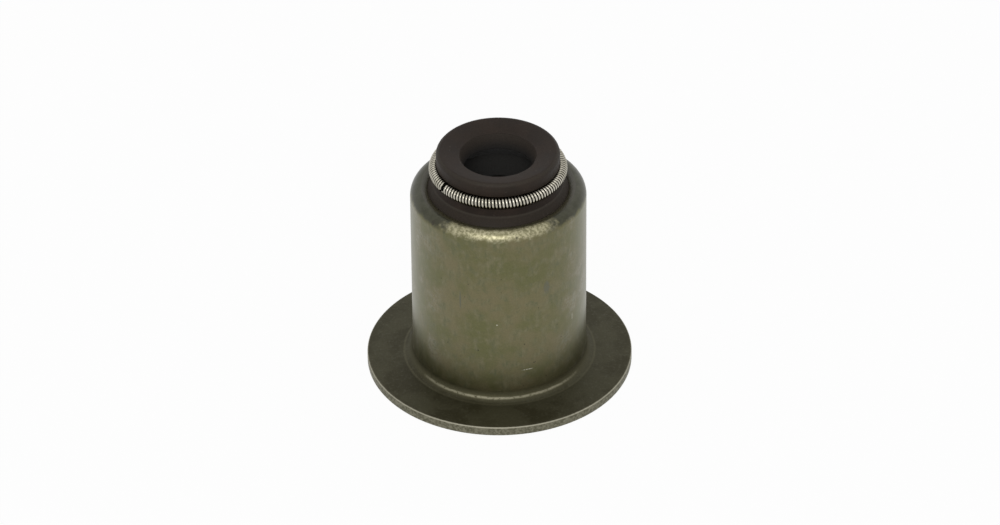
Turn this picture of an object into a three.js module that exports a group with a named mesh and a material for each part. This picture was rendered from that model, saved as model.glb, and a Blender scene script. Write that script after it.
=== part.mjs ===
// Valve stem seal of an engine, in millimetres, with +Z up along the valve stem.
// The origin is on the axis, at the underside of the flange.
import * as THREE from "three";

// The valve stem, and the wall of the guide that the stem runs in.
const STEM_RADIUS = 3.5;
const GUIDE_WALL = 3.0;

// The case, pressed from one steel sheet. The shoulder turns the sheet in and down, by an angle in degrees.
const SHEET = 1.0;
const CASE_HEIGHT = 20.82;
const FLANGE_WIDTH = 4.58;
const FLANGE_BEND = 1.0;
const SHOULDER_BEND = 0.07;
const SHOULDER_TURN = 126;
const SHEET_ROUNDING = 0.12;

// The rubber, moulded onto the steel over a thin film of bonding agent.
const BOND_FILM = 0.02;
const CONE_RISE = 0.68;
const NECK_HEIGHT = 0.81;
const NECK_STEP = 0.2;
const HEAD_STEP = 0.12;
const HEAD_HEIGHT = 1.37;
const HEAD_ROUNDING = 0.45;
const HEAD_DISH = 0.54;

// The bore through the rubber, from the head down to the relief above the guide.
const BORE_CLEARANCE = 0.29;
const LIP_GRIP = 0.08;
const LIP_BAND = 0.25;
const LIP_BODY = 2.13;
const LIP_BACK_DEPTH = 1.7;
const RELIEF_CLEARANCE = 1.4;

// The ribbed socket that is pressed over the guide.
const LINING = 1.17;
const LINING_SETBACK = 0.4;
const STOP_WALL = 1.2;
const SOCKET_CLEARANCE = 0.25;
const SOCKET_CHAMFER = 0.3;
const RIB_COUNT = 4;
const RIB_GRIP = 0.2;
const RIB_FOOT = 1.5;
const RIB_CREST = 0.5;

// The garter spring: a wire wound in close turns, bent to a ring that closes at its joint.
const WIRE_RADIUS = 0.125;
const COIL_RADIUS = 0.6;
const COIL_CLEARANCE = 0.05;
const TURN_GAP = 0.042;
const JOINT_GAP = 0.3;
const JOINT_ANGLE = THREE.MathUtils.degToRad(214.5);

// How finely round shapes are divided.
const ROUND_SEGMENTS = 48;
const BEND_STEPS = 4;
const SHOULDER_STEPS = 6;
const EDGE_STEPS = 2;
const GROOVE_STEPS = 8;
const STEPS_PER_TURN = 7;
const WIRE_SIDES = 5;

// Radii that follow from the guide outwards.
const guideRadius = STEM_RADIUS + GUIDE_WALL;
const caseInside = guideRadius + LINING;
const caseOutside = caseInside + SHEET;
const flangeRadius = caseOutside + FLANGE_WIDTH;

// Radii that follow from the stem outwards.
const lipRadius = STEM_RADIUS - LIP_GRIP;
const grooveRadius = COIL_RADIUS + COIL_CLEARANCE;
const springRadius = lipRadius + LIP_BODY + grooveRadius;
const neckRadius = springRadius + NECK_STEP;
const headRadius = springRadius - HEAD_STEP;
const coilCentreRadius = COIL_RADIUS - WIRE_RADIUS;

// Heights, from the case upwards: the groove meets the neck below and the head above.
const grooveDrop = Math.sqrt(grooveRadius ** 2 - NECK_STEP ** 2);
const grooveRise = Math.sqrt(grooveRadius ** 2 - HEAD_STEP ** 2);
const springHeight = CASE_HEIGHT + CONE_RISE + NECK_HEIGHT + grooveDrop;
const topHeight = springHeight + grooveRise + HEAD_HEIGHT;
const stopHeight = CASE_HEIGHT - SHEET - STOP_WALL;
const liningStart = SHEET + FLANGE_BEND + LINING_SETBACK;

// The shoulder's bend: the sheet goes round one centre, inside and outside.
const shoulderOutside = SHEET + SHOULDER_BEND;
const shoulderRadius = caseInside - SHOULDER_BEND;
const shoulderHeight = CASE_HEIGHT - shoulderOutside;

const steel = new THREE.MeshStandardMaterial({ color: 0x65604a, roughness: 0.42, metalness: 0.85 });
const rubber = new THREE.MeshStandardMaterial({ color: 0x362f2a, roughness: 0.75, metalness: 0 });
const springWire = new THREE.MeshStandardMaterial({ color: 0xc6c0ac, roughness: 0.25, metalness: 1 });

// A point of a section, by its distance from the axis and its height.
function at(radius, height) {
  return new THREE.Vector2(radius, height);
}

// Points on an arc about a centre, from one angle to another in degrees, with both ends.
function arc(centreRadius, centreHeight, radius, from, to, steps) {
  const points = [];
  for (let i = 0; i <= steps; i += 1) {
    const angle = THREE.MathUtils.degToRad(THREE.MathUtils.lerp(from, to, i / steps));
    points.push(at(centreRadius + radius * Math.cos(angle), centreHeight + radius * Math.sin(angle)));
  }
  return points;
}

// A section turned about the Z axis. Its points run up the outside and down the inside.
function turned(name, section, material) {
  const closed = [...section, section[0].clone()];
  const mesh = new THREE.Mesh(new THREE.LatheGeometry(closed, ROUND_SEGMENTS), material);
  mesh.name = name;
  mesh.rotation.x = Math.PI / 2;
  return mesh;
}

// The case: flange, bend, wall and shoulder with its turned-in edge, all of one sheet's thickness.
function makeCase() {
  const bendRadius = caseOutside + FLANGE_BEND;
  const bendHeight = SHEET + FLANGE_BEND;
  const rim = flangeRadius - SHEET_ROUNDING;
  const section = [
    ...arc(rim, SHEET_ROUNDING, SHEET_ROUNDING, -90, 0, EDGE_STEPS),
    ...arc(rim, SHEET - SHEET_ROUNDING, SHEET_ROUNDING, 0, 90, EDGE_STEPS),
    ...arc(bendRadius, bendHeight, FLANGE_BEND, -90, -180, BEND_STEPS),
    ...arc(shoulderRadius, shoulderHeight, shoulderOutside, 0, SHOULDER_TURN, SHOULDER_STEPS),
    ...arc(shoulderRadius, shoulderHeight, SHOULDER_BEND, SHOULDER_TURN, 0, EDGE_STEPS),
    ...arc(bendRadius, bendHeight, bendHeight, -180, -90, BEND_STEPS),
  ];
  return turned("case_shell", section, steel);
}

// A point beside the cut edge of the case, by its distance from the centre of the shoulder's bend.
function besideEdge(distance) {
  const turn = THREE.MathUtils.degToRad(SHOULDER_TURN);
  const point = at(shoulderRadius + distance * Math.cos(turn), shoulderHeight + distance * Math.sin(turn));
  return point.add(at(-BOND_FILM * Math.sin(turn), BOND_FILM * Math.cos(turn)));
}

// The rubber's outside: the lining in the case, the wrap round its edge, the cone, the neck and the head.
function rubberOutside() {
  const liningBend = SHOULDER_BEND - BOND_FILM;
  const neckAngle = -THREE.MathUtils.radToDeg(Math.acos(NECK_STEP / grooveRadius));
  const headAngle = THREE.MathUtils.radToDeg(Math.acos(-HEAD_STEP / grooveRadius)) - 360;
  const rounding = at(headRadius - HEAD_ROUNDING, topHeight - HEAD_ROUNDING);
  return [
    at(caseInside - BOND_FILM, liningStart),
    ...arc(shoulderRadius, shoulderHeight, liningBend, 0, SHOULDER_TURN, EDGE_STEPS),
    besideEdge(liningBend),
    besideEdge(shoulderOutside),
    at(neckRadius, CASE_HEIGHT + CONE_RISE),
    ...arc(springRadius, springHeight, grooveRadius, neckAngle, headAngle, GROOVE_STEPS),
    ...arc(rounding.x, rounding.y, HEAD_ROUNDING, 0, 90, BEND_STEPS),
  ];
}

// The rubber's bore: its edge in the dished top, the cone to the sealing lip, the lip's back and the relief.
function rubberBore() {
  const edgeRadius = STEM_RADIUS + BORE_CLEARANCE;
  const reliefRadius = STEM_RADIUS + RELIEF_CLEARANCE;
  return [
    at(edgeRadius, topHeight - HEAD_DISH),
    at(lipRadius, springHeight + LIP_BAND / 2),
    at(lipRadius, springHeight - LIP_BAND / 2),
    at(reliefRadius, springHeight - LIP_BACK_DEPTH),
    at(reliefRadius, stopHeight),
  ];
}

// The rubber's socket, from the stop that meets the guide's end down past the ribs to the mouth.
function rubberSocket() {
  const wallRadius = guideRadius + SOCKET_CLEARANCE;
  const crestRadius = guideRadius - RIB_GRIP;
  const spacing = (stopHeight - liningStart) / RIB_COUNT;
  const points = [at(wallRadius, stopHeight)];
  for (let rib = RIB_COUNT - 1; rib >= 0; rib -= 1) {
    const middle = liningStart + (rib + 0.5) * spacing;
    points.push(at(wallRadius, middle + RIB_FOOT / 2));
    points.push(at(crestRadius, middle + RIB_CREST / 2));
    points.push(at(crestRadius, middle - RIB_CREST / 2));
    points.push(at(wallRadius, middle - RIB_FOOT / 2));
  }
  points.push(at(wallRadius, liningStart + SOCKET_CHAMFER));
  points.push(at(wallRadius + SOCKET_CHAMFER, liningStart));
  return points;
}

function makeRubber() {
  return turned("seal_body", [...rubberOutside(), ...rubberBore(), ...rubberSocket()], rubber);
}

// The wire's centre line: right-hand turns about a circle, from one side of the joint round to the other.
class GarterCurve extends THREE.Curve {
  constructor(turns) {
    super();
    this.turns = turns;
    this.startAngle = JOINT_ANGLE + JOINT_GAP / springRadius / 2;
    this.sweep = 2 * Math.PI - JOINT_GAP / springRadius;
  }

  // Every turn is alike, so even steps along the curve are even steps of its parameter.
  getUtoTmapping(u) {
    return u;
  }

  getPoint(t, target = new THREE.Vector3()) {
    const ringAngle = this.startAngle + this.sweep * t;
    const turnAngle = -2 * Math.PI * this.turns * t;
    const radius = springRadius + coilCentreRadius * Math.cos(turnAngle);
    const height = springHeight + coilCentreRadius * Math.sin(turnAngle);
    return target.set(radius * Math.cos(ringAngle), radius * Math.sin(ringAngle), height);
  }

  getTangent(t, target = new THREE.Vector3()) {
    const ringAngle = this.startAngle + this.sweep * t;
    const turnSpeed = -2 * Math.PI * this.turns;
    const turnAngle = turnSpeed * t;
    const radius = springRadius + coilCentreRadius * Math.cos(turnAngle);
    const outward = -coilCentreRadius * turnSpeed * Math.sin(turnAngle);
    const upward = coilCentreRadius * turnSpeed * Math.cos(turnAngle);
    const along = radius * this.sweep;
    target.set(
      outward * Math.cos(ringAngle) - along * Math.sin(ringAngle),
      outward * Math.sin(ringAngle) + along * Math.cos(ringAngle),
      upward,
    );
    return target.normalize();
  }
}

// The spring has as many turns as fit side by side round the inside of the ring.
function makeSpring() {
  const insideLength = 2 * Math.PI * (springRadius - coilCentreRadius) - JOINT_GAP;
  const turns = Math.floor(insideLength / (2 * WIRE_RADIUS + TURN_GAP));
  const corners = [];
  for (let side = 0; side < WIRE_SIDES; side += 1) {
    const angle = (2 * Math.PI * side) / WIRE_SIDES;
    corners.push(new THREE.Vector2(WIRE_RADIUS * Math.cos(angle), WIRE_RADIUS * Math.sin(angle)));
  }
  const wire = new THREE.ExtrudeGeometry(new THREE.Shape(corners), {
    steps: turns * STEPS_PER_TURN,
    extrudePath: new GarterCurve(turns),
  });
  const mesh = new THREE.Mesh(wire, springWire);
  mesh.name = "garter_spring";
  return mesh;
}

const seal = new THREE.Group();
seal.add(makeCase(), makeRubber(), makeSpring());

export default seal;
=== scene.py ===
"""Valve stem seal: a flanged steel case, its moulded rubber and the garter spring round the lip."""

import math
from collections import namedtuple

import bpy
from mathutils import Matrix, Vector


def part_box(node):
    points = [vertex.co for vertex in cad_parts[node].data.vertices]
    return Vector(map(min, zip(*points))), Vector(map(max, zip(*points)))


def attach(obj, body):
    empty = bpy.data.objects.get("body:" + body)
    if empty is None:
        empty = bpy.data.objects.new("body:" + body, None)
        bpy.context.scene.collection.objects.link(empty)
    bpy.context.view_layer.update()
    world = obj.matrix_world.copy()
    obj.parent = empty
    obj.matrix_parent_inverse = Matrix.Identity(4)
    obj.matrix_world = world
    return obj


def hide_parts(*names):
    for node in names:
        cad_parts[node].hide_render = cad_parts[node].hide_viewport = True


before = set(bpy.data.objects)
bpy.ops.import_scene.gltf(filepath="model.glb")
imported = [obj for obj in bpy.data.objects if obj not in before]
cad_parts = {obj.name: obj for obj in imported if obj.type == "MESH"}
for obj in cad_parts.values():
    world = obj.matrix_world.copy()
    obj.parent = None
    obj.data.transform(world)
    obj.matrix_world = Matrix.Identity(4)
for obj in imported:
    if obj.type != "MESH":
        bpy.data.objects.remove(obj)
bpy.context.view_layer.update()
bpy.context.scene.view_settings.view_transform = "Standard"

MM = 0.001

# Sizes read from the solids.
CASE_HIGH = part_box("case_shell")[1]
RUBBER_LOW, RUBBER_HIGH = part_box("seal_body")
FLANGE_RADIUS = CASE_HIGH.x
CASE_HEIGHT = CASE_HIGH.z
TOP_HEIGHT = RUBBER_HIGH.z
LINING_START = RUBBER_LOW.z

# The case, pressed from one steel sheet. The shoulder's turn is in degrees.
SHEET = 1.0 * MM
FLANGE_WIDTH = 4.58 * MM
FLANGE_BEND = 1.0 * MM
SHOULDER_BEND = 0.07 * MM
SHOULDER_TURN = 126
SHEET_ROUNDING = 0.12 * MM
CASE_OUTSIDE = FLANGE_RADIUS - FLANGE_WIDTH
CASE_INSIDE = CASE_OUTSIDE - SHEET
SHOULDER_OUTSIDE = SHEET + SHOULDER_BEND
SHOULDER_RADIUS = CASE_INSIDE - SHOULDER_BEND
SHOULDER_HEIGHT = CASE_HEIGHT - SHOULDER_OUTSIDE

# The rubber, from the case upwards.
BOND_FILM = 0.02 * MM
CONE_RISE = 0.68 * MM
NECK_HEIGHT = 0.81 * MM
NECK_STEP = 0.2 * MM
HEAD_STEP = 0.12 * MM
HEAD_ROUNDING = 0.45 * MM
HEAD_DISH = 0.54 * MM

# The bore for the stem and the socket for the guide.
STEM_RADIUS = 3.5 * MM
GUIDE_WALL = 3.0 * MM
GUIDE_RADIUS = STEM_RADIUS + GUIDE_WALL
BORE_CLEARANCE = 0.29 * MM
LIP_GRIP = 0.08 * MM
LIP_BAND = 0.25 * MM
LIP_BODY = 2.13 * MM
LIP_BACK_DEPTH = 1.7 * MM
RELIEF_CLEARANCE = 1.4 * MM
STOP_WALL = 1.2 * MM
STOP_HEIGHT = CASE_HEIGHT - SHEET - STOP_WALL
SOCKET_CLEARANCE = 0.25 * MM
SOCKET_CHAMFER = 0.3 * MM
RIB_COUNT = 4
RIB_GRIP = 0.2 * MM
RIB_FOOT = 1.5 * MM
RIB_CREST = 0.5 * MM

# The garter spring in its groove.
WIRE_RADIUS = 0.125 * MM
COIL_RADIUS = 0.6 * MM
COIL_CLEARANCE = 0.05 * MM
SPRING_TURNS = 122
JOINT_GAP = 0.3 * MM
JOINT_ANGLE = math.radians(214.5)
GROOVE_RADIUS = COIL_RADIUS + COIL_CLEARANCE
SPRING_RADIUS = STEM_RADIUS - LIP_GRIP + LIP_BODY + GROOVE_RADIUS
GROOVE_DROP = math.sqrt(GROOVE_RADIUS ** 2 - NECK_STEP ** 2)
SPRING_HEIGHT = CASE_HEIGHT + CONE_RISE + NECK_HEIGHT + GROOVE_DROP

# How finely round shapes are divided, and how they are merged and shaded.
CASE_SEGMENTS = 240
RUBBER_SEGMENTS = 192
WIRE_SIDES = 12
STEPS_PER_TURN = 24
RING_STEPS = 128
SMALL_STEPS = 4
HEAD_STEPS = 8
FLANGE_STEPS = 12
BROAD_STEPS = 20
MERGE_DISTANCE = 0.002 * MM
SECTION_SMOOTHING = math.radians(40)
WIRE_SMOOTHING = math.radians(50)


# Sections and turning


def arc(radius, height, size, start, end, steps):
    """Points on an arc about a centre, from one angle to another in degrees, with both ends."""
    points = []
    for step in range(steps + 1):
        angle = math.radians(start + (end - start) * step / steps)
        points.append((radius + size * math.cos(angle), height + size * math.sin(angle)))
    return points


def draw_section(name, points):
    """Draws a closed section beside the axis: a plane merged to a point, then extruded round."""
    bpy.ops.object.select_all(action="DESELECT")
    bpy.ops.mesh.primitive_plane_add(size=MM)
    piece = bpy.context.object
    piece.name = name
    piece.data.name = name
    bpy.ops.object.mode_set(mode="EDIT")
    bpy.ops.mesh.select_all(action="SELECT")
    bpy.ops.mesh.merge(type="CENTER")
    bpy.ops.transform.translate(value=(points[0][0], 0, points[0][1]))
    for last, point in zip(points, points[1:] + points[:1]):
        move = (point[0] - last[0], 0, point[1] - last[1])
        bpy.ops.mesh.extrude_vertices_move(TRANSFORM_OT_translate={"value": move})
    bpy.ops.mesh.select_all(action="SELECT")
    bpy.ops.mesh.remove_doubles(threshold=MERGE_DISTANCE)
    return piece


def turn_section(piece, segments):
    """Spins the drawn section once round the axis, closes the seam and shades it."""
    bpy.ops.mesh.select_all(action="SELECT")
    bpy.ops.mesh.spin(steps=segments, angle=2 * math.pi, center=(0, 0, 0), axis=(0, 0, 1))
    bpy.ops.mesh.select_all(action="SELECT")
    bpy.ops.mesh.remove_doubles(threshold=MERGE_DISTANCE)
    bpy.ops.mesh.normals_make_consistent(inside=False)
    bpy.ops.object.mode_set(mode="OBJECT")
    bpy.ops.object.shade_smooth_by_angle(angle=SECTION_SMOOTHING)
    return piece


def make_case():
    """The case: flange, bend, wall and shoulder with its turned-in edge, all of one sheet's thickness."""
    bend_radius = CASE_OUTSIDE + FLANGE_BEND
    bend_height = SHEET + FLANGE_BEND
    rim = FLANGE_RADIUS - SHEET_ROUNDING
    section = arc(rim, SHEET_ROUNDING, SHEET_ROUNDING, -90, 0, SMALL_STEPS)
    section += arc(rim, SHEET - SHEET_ROUNDING, SHEET_ROUNDING, 0, 90, SMALL_STEPS)
    section += arc(bend_radius, bend_height, FLANGE_BEND, -90, -180, FLANGE_STEPS)
    section += arc(SHOULDER_RADIUS, SHOULDER_HEIGHT, SHOULDER_OUTSIDE, 0, SHOULDER_TURN, BROAD_STEPS)
    section += arc(SHOULDER_RADIUS, SHOULDER_HEIGHT, SHOULDER_BEND, SHOULDER_TURN, 0, SMALL_STEPS)
    section += arc(bend_radius, bend_height, bend_height, -180, -90, FLANGE_STEPS)
    return turn_section(draw_section("steel_case", section), CASE_SEGMENTS)


def beside_edge(distance):
    """A point beside the cut edge of the case, by its distance from the centre of the shoulder's bend."""
    turn = math.radians(SHOULDER_TURN)
    radius = SHOULDER_RADIUS + distance * math.cos(turn) - BOND_FILM * math.sin(turn)
    return (radius, SHOULDER_HEIGHT + distance * math.sin(turn) + BOND_FILM * math.cos(turn))


def rubber_outside():
    """The lining in the case, the wrap round its edge, the cone, the neck and the head."""
    lining_bend = SHOULDER_BEND - BOND_FILM
    neck_angle = -math.degrees(math.acos(NECK_STEP / GROOVE_RADIUS))
    head_angle = math.degrees(math.acos(-HEAD_STEP / GROOVE_RADIUS)) - 360
    head_side = SPRING_RADIUS - HEAD_STEP - HEAD_ROUNDING
    section = [(CASE_INSIDE - BOND_FILM, LINING_START)]
    section += arc(SHOULDER_RADIUS, SHOULDER_HEIGHT, lining_bend, 0, SHOULDER_TURN, SMALL_STEPS)
    section += [beside_edge(lining_bend), beside_edge(SHOULDER_OUTSIDE)]
    section += [(SPRING_RADIUS + NECK_STEP, CASE_HEIGHT + CONE_RISE)]
    section += arc(SPRING_RADIUS, SPRING_HEIGHT, GROOVE_RADIUS, neck_angle, head_angle, BROAD_STEPS)
    section += arc(head_side, TOP_HEIGHT - HEAD_ROUNDING, HEAD_ROUNDING, 0, 90, HEAD_STEPS)
    return section


def rubber_bore():
    """The edge in the dished top, the cone down to the sealing lip, the lip's back and the relief."""
    edge = STEM_RADIUS + BORE_CLEARANCE
    relief = STEM_RADIUS + RELIEF_CLEARANCE
    return [
        (edge, TOP_HEIGHT - HEAD_DISH),
        (STEM_RADIUS - LIP_GRIP, SPRING_HEIGHT + LIP_BAND / 2),
        (STEM_RADIUS - LIP_GRIP, SPRING_HEIGHT - LIP_BAND / 2),
        (relief, SPRING_HEIGHT - LIP_BACK_DEPTH),
        (relief, STOP_HEIGHT),
    ]


def rubber_socket():
    """The stop that meets the guide's end, the ribs below it and the mouth."""
    wall = GUIDE_RADIUS + SOCKET_CLEARANCE
    crest = GUIDE_RADIUS - RIB_GRIP
    spacing = (STOP_HEIGHT - LINING_START) / RIB_COUNT
    section = [(wall, STOP_HEIGHT)]
    for rib in reversed(range(RIB_COUNT)):
        middle = LINING_START + (rib + 0.5) * spacing
        section += [(wall, middle + RIB_FOOT / 2), (crest, middle + RIB_CREST / 2)]
        section += [(crest, middle - RIB_CREST / 2), (wall, middle - RIB_FOOT / 2)]
    section += [(wall, LINING_START + SOCKET_CHAMFER), (wall + SOCKET_CHAMFER, LINING_START)]
    return section


def make_rubber():
    """The moulded rubber, turned in one piece."""
    section = rubber_outside() + rubber_bore() + rubber_socket()
    return turn_section(draw_section("rubber_seal", section), RUBBER_SEGMENTS)


def add_wire_section():
    """The round section of the wire, at the first turn's place beside the line that it winds about."""
    bpy.ops.object.select_all(action="DESELECT")
    bpy.ops.mesh.primitive_circle_add(vertices=WIRE_SIDES, radius=WIRE_RADIUS)
    spring = bpy.context.object
    spring.name = "spring_coil"
    spring.data.name = "spring_coil"
    bpy.ops.object.mode_set(mode="EDIT")
    bpy.ops.mesh.select_all(action="SELECT")
    bpy.ops.transform.translate(value=(0, COIL_RADIUS - WIRE_RADIUS, 0))
    bpy.ops.object.mode_set(mode="OBJECT")
    return spring


def wind_turns(spring):
    """Screws the wire's section into a straight coil that is as long as the way round the ring."""
    length = 2 * math.pi * SPRING_RADIUS - JOINT_GAP
    screw = spring.modifiers.new("turns", "SCREW")
    screw.axis = "X"
    screw.angle = 2 * math.pi
    screw.screw_offset = length / SPRING_TURNS
    screw.iterations = SPRING_TURNS
    screw.steps = STEPS_PER_TURN
    screw.render_steps = STEPS_PER_TURN
    bpy.ops.object.modifier_apply(modifier="turns")


def bend_round(spring, ring):
    """Bends the straight coil round the ring, and takes the ring away."""
    bend = spring.modifiers.new("ring", "CURVE")
    bend.object = ring
    bend.deform_axis = "POS_X"
    bpy.ops.object.modifier_apply(modifier="ring")
    bpy.data.objects.remove(ring)


def make_spring():
    """The garter spring: one wire wound into turns and bent to a ring, with its two ends closed."""
    bpy.ops.object.select_all(action="DESELECT")
    bpy.ops.curve.primitive_nurbs_circle_add(radius=SPRING_RADIUS)
    ring = bpy.context.object
    ring.data.resolution_u = RING_STEPS
    spring = add_wire_section()
    wind_turns(spring)
    bend_round(spring, ring)
    bpy.ops.object.mode_set(mode="EDIT")
    bpy.ops.mesh.select_all(action="DESELECT")
    bpy.ops.mesh.select_non_manifold(extend=False)
    bpy.ops.mesh.edge_face_add()
    bpy.ops.mesh.select_all(action="SELECT")
    # The bent coil starts at the front and runs clockwise, and the turning here is clockwise too.
    front = 1.5 * math.pi
    start = JOINT_ANGLE - JOINT_GAP / SPRING_RADIUS / 2
    bpy.ops.transform.rotate(value=front - start, orient_axis="Z", center_override=(0, 0, 0))
    bpy.ops.transform.translate(value=(0, 0, SPRING_HEIGHT))
    bpy.ops.mesh.normals_make_consistent(inside=False)
    bpy.ops.object.mode_set(mode="OBJECT")
    bpy.ops.object.shade_smooth_by_angle(angle=WIRE_SMOOTHING)
    return spring


# Tools for the materials

Surface = namedtuple("Surface", "tree place height radius angle aside")
Tones = namedtuple("Tones", "low high first second")
Paint = namedtuple("Paint", "strength colour")

NOISE_ROUGHNESS = 0.55
RELIEF_STRENGTH = 0.5


def add_node(tree, kind, **settings):
    """Adds a shader node. A setting names a property, or an input by its name with _ for spaces."""
    made = tree.nodes.new(kind)
    for key, value in settings.items():
        if hasattr(made, key):
            setattr(made, key, value)
        else:
            made.inputs[key.replace("_", " ")].default_value = value
    return made


def join(tree, values, node):
    """Feeds values to a node's inputs in order: a socket is linked, and a number is set."""
    for place, value in enumerate(values):
        if isinstance(value, bpy.types.NodeSocket):
            tree.links.new(value, node.inputs[place])
        else:
            node.inputs[place].default_value = value
    return node


def calculate(tree, operation, *values):
    """The result of one sum on numbers or sockets."""
    return join(tree, values, add_node(tree, "ShaderNodeMath", operation=operation)).outputs[0]


def product(tree, first, *others):
    """All the values multiplied together."""
    for other in others:
        first = calculate(tree, "MULTIPLY", first, other)
    return first


def between(tree, share, low, high):
    """A level that goes from one value to another as a share goes from nought to one."""
    return calculate(tree, "MULTIPLY_ADD", share, high - low, low)


def squares(tree, first, second):
    """The sum of two squares."""
    return calculate(tree, "ADD", product(tree, first, first), product(tree, second, second))


def rise(tree, value, low, high):
    """Climbs smoothly from nought at one value to one at the other."""
    node = add_node(tree, "ShaderNodeMapRange", interpolation_type="SMOOTHSTEP")
    return join(tree, (value, low, high, 0.0, 1.0), node).outputs[0]


def band(tree, value, low, high, soft):
    """One between two values, and nought beyond a soft edge on either side."""
    return product(
        tree, rise(tree, value, low - soft, low + soft), rise(tree, value, high + soft, high - soft))


def blend(tree, share, first, second):
    """Goes from the first colour to the second by a share from nought to one."""
    node = add_node(tree, "ShaderNodeMix", data_type="RGBA")
    for name, value in zip(("Factor_Float", "A_Color", "B_Color"), (share, first, second)):
        socket = next(item for item in node.inputs if item.identifier == name)
        if isinstance(value, bpy.types.NodeSocket):
            tree.links.new(value, socket)
        else:
            socket.default_value = (*value, 1)
    return next(item for item in node.outputs if item.identifier == "Result_Color")


def mottle(tree, pattern, tones):
    """Two tones: the first where a pattern is low and the second where it is high."""
    return blend(tree, rise(tree, pattern, tones.low, tones.high), tones.first, tones.second)


def cover(tree, colour, paint, share):
    """Lays a paint over a colour where a share says, as strongly as the paint covers."""
    return blend(tree, product(tree, share, paint.strength), colour, paint.colour)


def shade(tree, colour, level):
    """Makes a colour lighter or darker by a level that changes over the surface."""
    node = add_node(tree, "ShaderNodeVectorMath", operation="SCALE")
    tree.links.new(colour, node.inputs[0])
    tree.links.new(level, node.inputs["Scale"])
    return node.outputs[0]


def read_surface(tree):
    """The place on the object, its height, its distance from the axis and its angle round it."""
    place = add_node(tree, "ShaderNodeTexCoord").outputs["Object"]
    parts = add_node(tree, "ShaderNodeSeparateXYZ")
    tree.links.new(place, parts.inputs[0])
    across, along, height = parts.outputs
    radius = calculate(tree, "SQRT", squares(tree, across, along))
    # The angle is nought at the front, grows to the right and falls to the left.
    angle = calculate(tree, "ARCTAN2", across, product(tree, along, -1.0))
    aside = calculate(tree, "ABSOLUTE", angle)
    return Surface(tree, place, height, radius, angle, aside)


def noise(tree, place, size, detail, roughness=NOISE_ROUGHNESS, stretch=None):
    """A cloudy pattern with features of about the size given, stretched where that is given."""
    node = add_node(tree, "ShaderNodeTexNoise", Detail=detail, Roughness=roughness, Scale=1 / size)
    if stretch:
        mapping = add_node(tree, "ShaderNodeMapping", Scale=[1 / part for part in stretch])
        tree.links.new(place, mapping.inputs[0])
        place = mapping.outputs[0]
    tree.links.new(place, node.inputs["Vector"])
    return node.outputs["Fac"]


def stray(tree, pattern, reach):
    """Goes either way by half a reach as a pattern goes from nought to one, to make an edge ragged."""
    return between(tree, pattern, -reach / 2, reach / 2)


def start_material(name, look):
    """A material with one Principled shader, and its finish as the viewport colour."""
    material = bpy.data.materials.new(name)
    material.use_nodes = True
    material.diffuse_color = (*look, 1)
    tree = material.node_tree
    return material, read_surface(tree), tree.nodes["Principled BSDF"]


def raise_relief(tree, shader, relief, depth):
    """Lets a pattern stand out from the surface by a small depth."""
    bump = add_node(tree, "ShaderNodeBump", Strength=RELIEF_STRENGTH, Distance=depth)
    tree.links.new(relief, bump.inputs["Height"])
    tree.links.new(bump.outputs[0], shader.inputs["Normal"])


# The finish of the steel case

# Mixed tones: the levels of a pattern between which it goes from one colour to the other.
OLIVE_TONES = Tones(0.35, 0.65, (0.114, 0.113, 0.042), (0.156, 0.136, 0.067))
GREY_TONES = Tones(0.3, 0.75, (0.11, 0.112, 0.052), (0.175, 0.158, 0.085))
# The shoulder's painted dark reflection at its sides, then its painted highlight at the front.
SHOULDER_SHADE_TONES = Tones(0.3, 0.7, (0.023, 0.0235, 0.012), (0.042, 0.042, 0.025))
SHOULDER_HIGHLIGHT_TONES = Tones(0.4, 0.62, (0.2, 0.185, 0.1), (0.42, 0.39, 0.25))
# The flange's mottled tones, darkened by a painted dark reflection.
FLANGE_SHADE_TONES = Tones(0.4, 0.6, (0.045, 0.041, 0.022), (0.065, 0.061, 0.036))
RIM_TONES = Tones(0.36, 0.64, (0.11, 0.105, 0.068), (0.215, 0.205, 0.15))

# Paints: how strongly each covers what is under it, and its colour.
# A mottled painted highlight on the wall's left and right sides.
SIDE_HIGHLIGHT = Paint(0.5, (0.26, 0.26, 0.21))
# Painted shade at the wall's foot, in the bend.
WALL_FOOT_SHADE = Paint(1.0, (0.068, 0.063, 0.034))
FLANGE_FLECK = Paint(0.5, (0.09, 0.086, 0.06))
# A painted highlight round the bend, towards the front.
BEND_HIGHLIGHT = Paint(1.0, (0.23, 0.215, 0.15))
SEAT_RING = Paint(0.4, (0.12, 0.112, 0.07))
# A painted highlight on the rim's upper corner.
RIM_HIGHLIGHT = Paint(0.8, (0.42, 0.4, 0.32))
TURNED_IN_EDGE = Paint(1.0, (0.042, 0.037, 0.018))
BRIGHT_MARK = Paint(0.75, (0.62, 0.6, 0.48))
FAINT_MARK = Paint(0.75, (0.3, 0.29, 0.22))
DARK_MARK = Paint(0.75, (0.03, 0.026, 0.015))
STAIN = Paint(0.75, (0.1, 0.105, 0.075))
PIT = Paint(0.6, (0.03, 0.026, 0.015))

# How strongly the shoulder's painted highlight and painted dark reflection cover the wall's colour, and the
# steel's viewport colour.
SHOULDER_LIGHT_COVER = 0.92
STEEL_LOOK = (0.13, 0.12, 0.07)

# Levels of a pattern between which a finish or a painted highlight goes from none to full.
OLIVE_TO_GREY = (0.42, 0.7)
SIDE_HIGHLIGHT_CLOUDS = (0.48, 0.62)
SIDE_HIGHLIGHT_FLECKS = (0.35, 0.6)
FLANGE_FLECKS = (0.5, 0.72)
BEND_HIGHLIGHT_FLECKS = (0.3, 0.5)
MARK_GRAIN = (0.3, 0.5)
PIT_LEVELS = (0.24, 0.2)

# Where a mark starts and where it is full, as the square of the distance over the mark's size.
MARK_EDGE = (1.0, 0.25)

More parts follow.
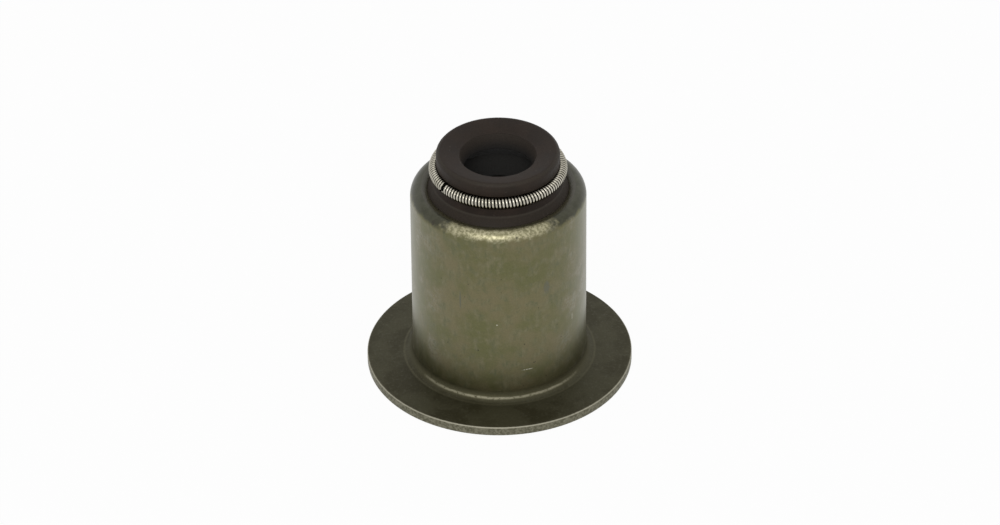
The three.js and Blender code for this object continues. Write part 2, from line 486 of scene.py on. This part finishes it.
# Brightness from the foot of the wall upwards, and of the fine grain.
WALL_LEVELS = (0.92, 1.0)
STEEL_GRAIN = (0.8, 1.2)

# The clear film over the steel, its roughness and its relief.
FILM_WEIGHTS = (0.5, 0.1)
FILM_ROUGHNESS = 0.35
STEEL_ROUGHNESS = (0.28, 0.48)
CLOUD_ROUGHNESS = 0.2
PATCH_ROUGHNESS = 0.08
GRAIN_RELIEF = 0.5
CLOUD_RELIEF = 3.0
STEEL_RELIEF = 0.02 * MM

# Marks on the wall: degrees to the right of the front, height, width and how tall in mm, and the paint.
WALL_MARKS = [
    (18.5, 4.4, 0.7, 0.06, BRIGHT_MARK),
    (-1.5, 10.1, 0.09, 0.1, BRIGHT_MARK),
    (-14.0, 6.9, 0.1, 0.12, DARK_MARK),
    (56.0, 8.4, 0.12, 0.5, FAINT_MARK),
    (32.5, 13.7, 0.45, 0.9, STAIN),
    (-26.0, 12.6, 0.12, 1.3, STAIN),
    (-48.5, 20.3, 0.25, 0.3, DARK_MARK),
    (12.0, 20.3, 0.18, 0.12, DARK_MARK),
]

# Angles from the front, either way, at which a painted highlight fades out, and how far its edge strays.
SIDE_HIGHLIGHT_START = math.radians(48)
SIDE_HIGHLIGHT_END = math.radians(88)
SIDE_HIGHLIGHT_FADE = math.radians(14)
# Where the shoulder's painted highlight is full and where it ends.
SHOULDER_HIGHLIGHT_FULL = math.radians(30)
SHOULDER_HIGHLIGHT_END = math.radians(44)
BEND_HIGHLIGHT_FULL = math.radians(34)
BEND_HIGHLIGHT_END = math.radians(64)
STRAY_ANGLE = 0.5

# Places of the finishes and of the painted light and shade on the wall, the shoulder, the flange and the
# rim.
WALL_DARKENS = (4 * MM, 11 * MM)
SHOULDER_LIGHT_HEIGHT = (CASE_HEIGHT - 0.95 * MM, CASE_HEIGHT - 0.45 * MM)
SHOULDER_STRAY = 0.9 * MM
FLANGE_SHADE_RADIUS = (CASE_OUTSIDE + 0.1 * MM, CASE_OUTSIDE + 0.6 * MM)
FOOT_SHADE_HEIGHT = (2.3 * MM, 1.7 * MM)
BEND_HIGHLIGHT_HEIGHT = (1.28 * MM, 1.44 * MM, 0.07 * MM)
BEND_HIGHLIGHT_STRAY = 0.108 * MM
SEAT_RING_RADIUS = (CASE_OUTSIDE + 0.78 * MM, CASE_OUTSIDE + 0.98 * MM, 0.08 * MM)
RIM_FINISH = (FLANGE_RADIUS - 0.14 * MM, FLANGE_RADIUS - 0.02 * MM)
RIM_HIGHLIGHT_RADIUS = (FLANGE_RADIUS - 0.2 * MM, FLANGE_RADIUS)
RIM_HIGHLIGHT_HEIGHT = (SHEET - 0.12 * MM, SHEET - 0.02 * MM, 0.03 * MM)
EDGE_RADIUS = (SHOULDER_RADIUS + 0.04 * MM, SHOULDER_RADIUS - 0.04 * MM)
EDGE_HEIGHT = (CASE_HEIGHT - 3 * MM, CASE_HEIGHT - 2 * MM)
FLAT_HEIGHT = (SHEET + 1.2 * FLANGE_BEND, SHEET + 0.6 * FLANGE_BEND)

SteelPatterns = namedtuple("SteelPatterns", "cloud patch grain drawn fleck pits")


def steel_patterns(surface):
    """The patterns that the steel's finishes share, from broad clouds to small pits."""
    tree, place = surface.tree, surface.place
    return SteelPatterns(
        cloud=noise(tree, place, 3.2 * MM, 4.0),
        patch=noise(tree, place, 0.9 * MM, 3.0),
        grain=noise(tree, place, 0.16 * MM, 2.0),
        drawn=noise(tree, place, 0.4 * MM, 3.0, stretch=(1.0, 1.0, 3.0)),
        fleck=noise(tree, place, 0.3 * MM, 3.0, roughness=0.65),
        pits=noise(tree, place, 0.45 * MM, 1.0),
    )


def ragged_angle(surface, patterns):
    """The angle from the front, shifted here and there, so that what fades by it has a ragged edge."""
    return calculate(surface.tree, "ADD", surface.aside, stray(surface.tree, patterns.patch, STRAY_ANGLE))


def treated_wall(surface, patterns):
    """The olive treatment, mixed with a greyer drawn tone, with mottled painted highlights at the sides."""
    tree = surface.tree
    olive = mottle(tree, patterns.cloud, OLIVE_TONES)
    grey = mottle(tree, patterns.drawn, GREY_TONES)
    colour = blend(tree, rise(tree, patterns.patch, *OLIVE_TO_GREY), olive, grey)
    side_highlight = product(
        tree, rise(tree, patterns.cloud, *SIDE_HIGHLIGHT_CLOUDS), rise(tree, patterns.fleck, *SIDE_HIGHLIGHT_FLECKS),
        band(tree, surface.aside, SIDE_HIGHLIGHT_START, SIDE_HIGHLIGHT_END, SIDE_HIGHLIGHT_FADE))
    colour = cover(tree, colour, SIDE_HIGHLIGHT, side_highlight)
    return shade(tree, colour, between(tree, rise(tree, surface.height, *WALL_DARKENS), *WALL_LEVELS))


def shoulder_highlight_and_shade(surface, patterns, colour):
    """The shoulder: a painted highlight at the front, and a painted dark reflection at the sides and
    behind.
    """
    tree = surface.tree
    uneven = calculate(tree, "ADD", surface.height, stray(tree, patterns.patch, SHOULDER_STRAY))
    shoulder_shade = mottle(tree, patterns.patch, SHOULDER_SHADE_TONES)
    shoulder_highlight = mottle(tree, patterns.fleck, SHOULDER_HIGHLIGHT_TONES)
    side = rise(tree, ragged_angle(surface, patterns), SHOULDER_HIGHLIGHT_FULL, SHOULDER_HIGHLIGHT_END)
    shoulder_light = Paint(SHOULDER_LIGHT_COVER, blend(tree, side, shoulder_highlight, shoulder_shade))
    return cover(tree, colour, shoulder_light, rise(tree, uneven, *SHOULDER_LIGHT_HEIGHT))


def flange_shade_and_highlights(surface, patterns, colour):
    """The wall's foot and the flange: painted shade at the foot, a flecked flange darkened by a painted
    dark reflection, a painted highlight round the bend, a pale ring on the seat.
    """
    tree = surface.tree
    # Painted shade over the wall's foot and the bend.
    foot = rise(tree, surface.height, *FOOT_SHADE_HEIGHT)
    colour = cover(tree, colour, WALL_FOOT_SHADE, foot)
    dark = mottle(tree, patterns.cloud, FLANGE_SHADE_TONES)
    dark = cover(tree, dark, FLANGE_FLECK, rise(tree, patterns.fleck, *FLANGE_FLECKS))
    colour = blend(tree, rise(tree, surface.radius, *FLANGE_SHADE_RADIUS), colour, dark)
    # A painted highlight along the bend, only towards the front.
    uneven = calculate(tree, "ADD", surface.height, stray(tree, patterns.patch, BEND_HIGHLIGHT_STRAY))
    ahead = rise(tree, ragged_angle(surface, patterns), BEND_HIGHLIGHT_END, BEND_HIGHLIGHT_FULL)
    line = product(
        tree, band(tree, uneven, *BEND_HIGHLIGHT_HEIGHT), ahead, rise(tree, patterns.fleck, *BEND_HIGHLIGHT_FLECKS))
    colour = cover(tree, colour, BEND_HIGHLIGHT, line)
    ring = product(tree, band(tree, surface.radius, *SEAT_RING_RADIUS), foot)
    return cover(tree, colour, SEAT_RING, ring)


def speckled_rim(surface, patterns, colour):
    """The flange's cut rim: speckled, with a painted highlight on its upper corner."""
    tree = surface.tree
    edge = mottle(tree, patterns.fleck, RIM_TONES)
    colour = blend(tree, rise(tree, surface.radius, *RIM_FINISH), colour, edge)
    height = band(tree, surface.height, *RIM_HIGHLIGHT_HEIGHT)
    corner = product(tree, height, rise(tree, surface.radius, *RIM_HIGHLIGHT_RADIUS))
    return cover(tree, colour, RIM_HIGHLIGHT, corner)


def near_mark(surface, turn, height, width, tall):
    """One at a mark on the wall, by its angle from the front and its height, and nought off it."""
    tree = surface.tree
    turned = calculate(tree, "SUBTRACT", surface.angle, math.radians(turn))
    across = product(tree, turned, CASE_OUTSIDE / (width * MM))
    along = calculate(tree, "DIVIDE", calculate(tree, "SUBTRACT", surface.height, height * MM), tall * MM)
    return rise(tree, squares(tree, across, along), *MARK_EDGE)


def marked_wall(surface, patterns, colour):
    """The scratches, nicks and stains of the wall, and small dark pits all over."""
    tree = surface.tree
    broken = rise(tree, patterns.grain, *MARK_GRAIN)
    for turn, height, width, tall, paint in WALL_MARKS:
        mark = near_mark(surface, turn, height, width, tall)
        colour = cover(tree, colour, paint, product(tree, mark, broken))
    return cover(tree, colour, PIT, rise(tree, patterns.pits, *PIT_LEVELS))


def steel_material():
    """Steel with an olive treatment, a painted dark reflection on the flange and a painted highlight at the
    front of the shoulder.
    """
    material, surface, shader = start_material("case_steel", STEEL_LOOK)
    tree = surface.tree
    patterns = steel_patterns(surface)
    turned_in = product(
        tree, rise(tree, surface.radius, *EDGE_RADIUS), rise(tree, surface.height, *EDGE_HEIGHT))
    colour = treated_wall(surface, patterns)
    colour = shoulder_highlight_and_shade(surface, patterns, colour)
    colour = flange_shade_and_highlights(surface, patterns, colour)
    colour = speckled_rim(surface, patterns, colour)
    colour = cover(tree, colour, TURNED_IN_EDGE, turned_in)
    colour = marked_wall(surface, patterns, colour)
    colour = shade(tree, colour, between(tree, patterns.grain, *STEEL_GRAIN))
    tree.links.new(colour, shader.inputs["Base Color"])
    tree.links.new(calculate(tree, "SUBTRACT", 1.0, turned_in), shader.inputs["Metallic"])
    # The clear film is thin on the flange and on the turned-in edge, and the flange is rougher.
    flat = rise(tree, surface.height, *FLAT_HEIGHT)
    bare = calculate(tree, "MAXIMUM", turned_in, flat)
    tree.links.new(between(tree, bare, *FILM_WEIGHTS), shader.inputs["Coat Weight"])
    shader.inputs["Coat Roughness"].default_value = FILM_ROUGHNESS
    rough = between(tree, flat, *STEEL_ROUGHNESS)
    rough = calculate(tree, "MULTIPLY_ADD", patterns.cloud, CLOUD_ROUGHNESS, rough)
    rough = calculate(tree, "MULTIPLY_ADD", patterns.patch, PATCH_ROUGHNESS, rough)
    tree.links.new(rough, shader.inputs["Roughness"])
    relief = calculate(tree, "MULTIPLY_ADD", patterns.grain, GRAIN_RELIEF, patterns.drawn)
    relief = calculate(tree, "MULTIPLY_ADD", patterns.cloud, CLOUD_RELIEF, relief)
    raise_relief(tree, shader, relief, STEEL_RELIEF)
    return material


# The finish of the rubber

RUBBER_TONES = Tones(0.35, 0.68, (0.013, 0.0075, 0.004), (0.023, 0.0145, 0.0095))
# Painted light on the upward-facing cone.
CONE_LIGHT = Paint(0.5, (0.034, 0.027, 0.019))
# A painted highlight on the corner between the cone and the neck.
NECK_HIGHLIGHT = Paint(0.25, (0.08, 0.07, 0.055))
DUST = Paint(0.35, (0.12, 0.105, 0.085))
BORE_EDGE = Paint(0.2, (0.034, 0.026, 0.02))
BORE_MOUTH = Paint(1.0, (0.046, 0.037, 0.03))
BORE_INSIDE = Paint(0.9, (0.023, 0.0225, 0.0215))
BORE_DEPTH = Paint(1.0, (0.046, 0.045, 0.042))
# A painted highlight on the head's rounded corner.
TOP_HIGHLIGHT = Paint(0.35, (0.06, 0.052, 0.04))
RUBBER_LOOK = (0.04, 0.03, 0.024)
DUST_LEVELS = (0.66, 0.76)
RUBBER_GRAIN = (0.7, 1.3)
RUBBER_ROUGHNESS = (0.45, 0.7)
RUBBER_SHINE = 0.2
RING_RELIEF = 0.5
RUBBER_GRAIN_RELIEF = 0.4
RUBBER_RELIEF = 0.04 * MM

# Places of the finishes and of the painted light on the cone, the neck, the head and the bore.
CONE_LIGHT_HEIGHT = (CASE_HEIGHT + 0.75 * MM, CASE_HEIGHT + 0.65 * MM)
NECK_HIGHLIGHT_START = CASE_HEIGHT + CONE_RISE - 0.16 * MM
NECK_HIGHLIGHT_HEIGHT = (NECK_HIGHLIGHT_START, CASE_HEIGHT + CONE_RISE, 0.08 * MM)
BORE_EDGE_RADIUS = (STEM_RADIUS + 0.6 * MM, STEM_RADIUS)
MOUTH_RADIUS = (STEM_RADIUS + 0.4 * MM, STEM_RADIUS + 0.3 * MM)
MOUTH_HEIGHT = (TOP_HEIGHT - 0.5 * MM, TOP_HEIGHT - 0.62 * MM)
INSIDE_RADIUS = (STEM_RADIUS + 1.7 * MM, STEM_RADIUS + 1.5 * MM)
INSIDE_HEIGHT = (TOP_HEIGHT - 0.8 * MM, TOP_HEIGHT - 2.2 * MM)
DEEP_HEIGHT = (SPRING_HEIGHT - 0.15 * MM, SPRING_HEIGHT - 0.35 * MM)
HEAD_HEIGHT = (TOP_HEIGHT - 1.2 * MM, TOP_HEIGHT - 0.5 * MM)
TOP_HIGHLIGHT_RADIUS = (SPRING_RADIUS - 0.45 * MM, SPRING_RADIUS - 0.15 * MM, 0.1 * MM)


def moulded_outside(surface, cloud):
    """The outside: brown clouds, painted light on the cone, a painted highlight at the neck's corner, and
    flecks of dust.
    """
    tree = surface.tree
    colour = mottle(tree, cloud, RUBBER_TONES)
    colour = cover(tree, colour, CONE_LIGHT, rise(tree, surface.height, *CONE_LIGHT_HEIGHT))
    colour = cover(tree, colour, NECK_HIGHLIGHT, band(tree, surface.height, *NECK_HIGHLIGHT_HEIGHT))
    flecks = noise(tree, surface.place, 0.3 * MM, 2.0, roughness=0.7)
    return cover(tree, colour, DUST, rise(tree, flecks, *DUST_LEVELS))


def bore_finish(surface, colour):
    """The bore: browner round its mouth, and a plain grey further in."""
    tree = surface.tree
    colour = cover(tree, colour, BORE_EDGE, rise(tree, surface.radius, *BORE_EDGE_RADIUS))
    mouth = product(
        tree, rise(tree, surface.radius, *MOUTH_RADIUS), rise(tree, surface.height, *MOUTH_HEIGHT))
    colour = cover(tree, colour, BORE_MOUTH, mouth)
    inside = product(
        tree, rise(tree, surface.radius, *INSIDE_RADIUS), rise(tree, surface.height, *INSIDE_HEIGHT))
    colour = cover(tree, colour, BORE_INSIDE, inside)
    deep = product(tree, inside, rise(tree, surface.height, *DEEP_HEIGHT))
    return cover(tree, colour, BORE_DEPTH, deep)


def head_corner_highlight(surface, colour):
    """The head's upper corner, a little paler: a painted highlight."""
    tree = surface.tree
    corner = product(
        tree, rise(tree, surface.height, *HEAD_HEIGHT), band(tree, surface.radius, *TOP_HIGHLIGHT_RADIUS))
    return cover(tree, colour, TOP_HIGHLIGHT, corner)


def rubber_material():
    """Dark brown moulded rubber, with faint clouds, mould rings round the top and flecks of dust."""
    material, surface, shader = start_material("seal_rubber", RUBBER_LOOK)
    tree = surface.tree
    cloud = noise(tree, surface.place, 2.2 * MM, 4.0)
    grain = noise(tree, surface.place, 0.14 * MM, 2.0)
    rings = noise(tree, surface.radius, 0.22 * MM, 2.0)
    colour = moulded_outside(surface, cloud)
    colour = bore_finish(surface, colour)
    colour = head_corner_highlight(surface, colour)
    colour = shade(tree, colour, between(tree, grain, *RUBBER_GRAIN))
    tree.links.new(colour, shader.inputs["Base Color"])
    shader.inputs["Specular IOR Level"].default_value = RUBBER_SHINE
    tree.links.new(between(tree, cloud, *RUBBER_ROUGHNESS), shader.inputs["Roughness"])
    relief = calculate(tree, "MULTIPLY_ADD", rings, RING_RELIEF, product(tree, grain, RUBBER_GRAIN_RELIEF))
    raise_relief(tree, shader, calculate(tree, "ADD", relief, cloud), RUBBER_RELIEF)
    return material


# The finish of the wire

WIRE_TONES = Tones(0.35, 0.65, (0.44, 0.415, 0.335), (0.56, 0.53, 0.45))
# Painted shade deep between the turns, inside the coil.
WIRE_GAP_SHADE = Paint(0.92, (0.02, 0.017, 0.011))
WIRE_LOOK = (0.6, 0.58, 0.5)
WIRE_GRAIN = (0.8, 1.2)
WIRE_ROUGHNESS = (0.1, 0.3)
GAP_SHADE_REACH = (COIL_RADIUS - 0.008 * MM, COIL_RADIUS - 0.07 * MM)


def wire_material():
    """Bright drawn wire, with a slight tarnish and painted shade deep between the turns."""
    material, surface, shader = start_material("spring_wire", WIRE_LOOK)
    tree = surface.tree
    tarnish = noise(tree, surface.place, 1.4 * MM, 3.0)
    grain = noise(tree, surface.place, 0.08 * MM, 2.0)
    out = calculate(tree, "SUBTRACT", surface.radius, SPRING_RADIUS)
    up = calculate(tree, "SUBTRACT", surface.height, SPRING_HEIGHT)
    from_middle = calculate(tree, "SQRT", squares(tree, out, up))
    colour = mottle(tree, tarnish, WIRE_TONES)
    colour = cover(tree, colour, WIRE_GAP_SHADE, rise(tree, from_middle, *GAP_SHADE_REACH))
    colour = shade(tree, colour, between(tree, grain, *WIRE_GRAIN))
    tree.links.new(colour, shader.inputs["Base Color"])
    shader.inputs["Metallic"].default_value = 1.0
    tree.links.new(between(tree, tarnish, *WIRE_ROUGHNESS), shader.inputs["Roughness"])
    return material


# The camera, the light and the floor

CAMERA_LENS = 187.0
CAMERA_DISTANCE = 515 * MM
CAMERA_TILT = math.radians(35.35)
CAMERA_ROLL = math.radians(-0.47)
CAMERA_NEAREST = 10 * MM
AIM = Vector((0.116 * MM, 0, 11.5 * MM))

WHITE = (1, 1, 1, 1)
FLOOR_WHITE = (0.9, 0.9, 0.9, 1)
BACKGROUND_STRENGTH = 1.0
WORLD_LIGHT = 0.5
KEY_LIGHT_PLACE = (-0.08, -0.68, 0.66)
KEY_LIGHT_SIZE = 0.4
KEY_LIGHT_POWER = 2.4
FLOOR_SIZE = 4.0
FLOOR_GAP = 0.02 * MM
FLOOR_OWN_LIGHT = 0.96


def add_camera():
    """The photograph's view: from the front and above, through a long lens."""
    back = Vector((0, -math.cos(CAMERA_TILT), math.sin(CAMERA_TILT)))
    up = Vector((0, math.sin(CAMERA_TILT), math.cos(CAMERA_TILT)))
    right = Vector((1, 0, 0))
    turn = Matrix((right, up, back)).transposed() @ Matrix.Rotation(CAMERA_ROLL, 3, "Z")
    data = bpy.data.cameras.new("camera")
    data.lens = CAMERA_LENS
    data.clip_start = CAMERA_NEAREST
    camera = bpy.data.objects.new("camera", data)
    camera.matrix_world = Matrix.Translation(AIM + back * CAMERA_DISTANCE) @ turn.to_4x4()
    bpy.context.scene.collection.objects.link(camera)
    bpy.context.scene.camera = camera


def add_lamp(name, place, size, power):
    """A square soft lamp that faces the seal."""
    data = bpy.data.lights.new(name, "AREA")
    data.size = size
    data.energy = power
    lamp = bpy.data.objects.new(name, data)
    lamp.location = place
    lamp.rotation_euler = (AIM - Vector(place)).to_track_quat("-Z", "Y").to_euler()
    bpy.context.scene.collection.objects.link(lamp)


def seen_directly(tree):
    """One where a ray comes straight from the camera, off gloss or through glass, and nought elsewhere."""
    path = add_node(tree, "ShaderNodeLightPath")
    straight = calculate(tree, "MAXIMUM", path.outputs["Is Camera Ray"], path.outputs["Is Glossy Ray"])
    return calculate(tree, "MAXIMUM", straight, path.outputs["Is Transmission Ray"])


def light_the_world():
    """A white background of strength 1, and a softer even light on the seal."""
    world = bpy.data.worlds.new("studio")
    bpy.context.scene.world = world
    world.use_nodes = True
    tree = world.node_tree
    tree.nodes.clear()
    light = add_node(tree, "ShaderNodeBackground", Color=WHITE, Strength=WORLD_LIGHT)
    seen = add_node(tree, "ShaderNodeBackground", Color=WHITE, Strength=BACKGROUND_STRENGTH)
    mix = add_node(tree, "ShaderNodeMixShader")
    join(tree, (seen_directly(tree), light.outputs[0], seen.outputs[0]), mix)
    output = add_node(tree, "ShaderNodeOutputWorld")
    tree.links.new(mix.outputs[0], output.inputs["Surface"])


def floor_material():
    """White that is lit by the lamps, with a share of its own light where the camera sees it."""
    material = bpy.data.materials.new("floor_white")
    material.use_nodes = True
    tree = material.node_tree
    tree.nodes.clear()
    lit = add_node(tree, "ShaderNodeBsdfDiffuse", Color=FLOOR_WHITE)
    plain = add_node(tree, "ShaderNodeEmission", Color=WHITE, Strength=BACKGROUND_STRENGTH)
    mix = add_node(tree, "ShaderNodeMixShader")
    share = product(tree, seen_directly(tree), FLOOR_OWN_LIGHT)
    join(tree, (share, lit.outputs[0], plain.outputs[0]), mix)
    output = add_node(tree, "ShaderNodeOutputMaterial")
    tree.links.new(mix.outputs[0], output.inputs["Surface"])
    return material


def add_floor():
    """A plain white floor that still takes a faint shadow."""
    bpy.ops.object.select_all(action="DESELECT")
    bpy.ops.mesh.primitive_plane_add(size=FLOOR_SIZE, location=(0, 0, -FLOOR_GAP))
    floor = bpy.context.object
    floor.name = "studio_floor"
    floor.data.materials.append(floor_material())


def place_piece(piece, node, material):
    """Puts a finished piece in the place of its solid."""
    piece.data.materials.clear()
    piece.data.materials.append(material)
    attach(piece, "root")
    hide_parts(node)


add_camera()
light_the_world()
add_floor()
add_lamp("key_light", KEY_LIGHT_PLACE, KEY_LIGHT_SIZE, KEY_LIGHT_POWER)

place_piece(make_case(), "case_shell", steel_material())
place_piece(make_rubber(), "seal_body", rubber_material())
place_piece(make_spring(), "garter_spring", wire_material())
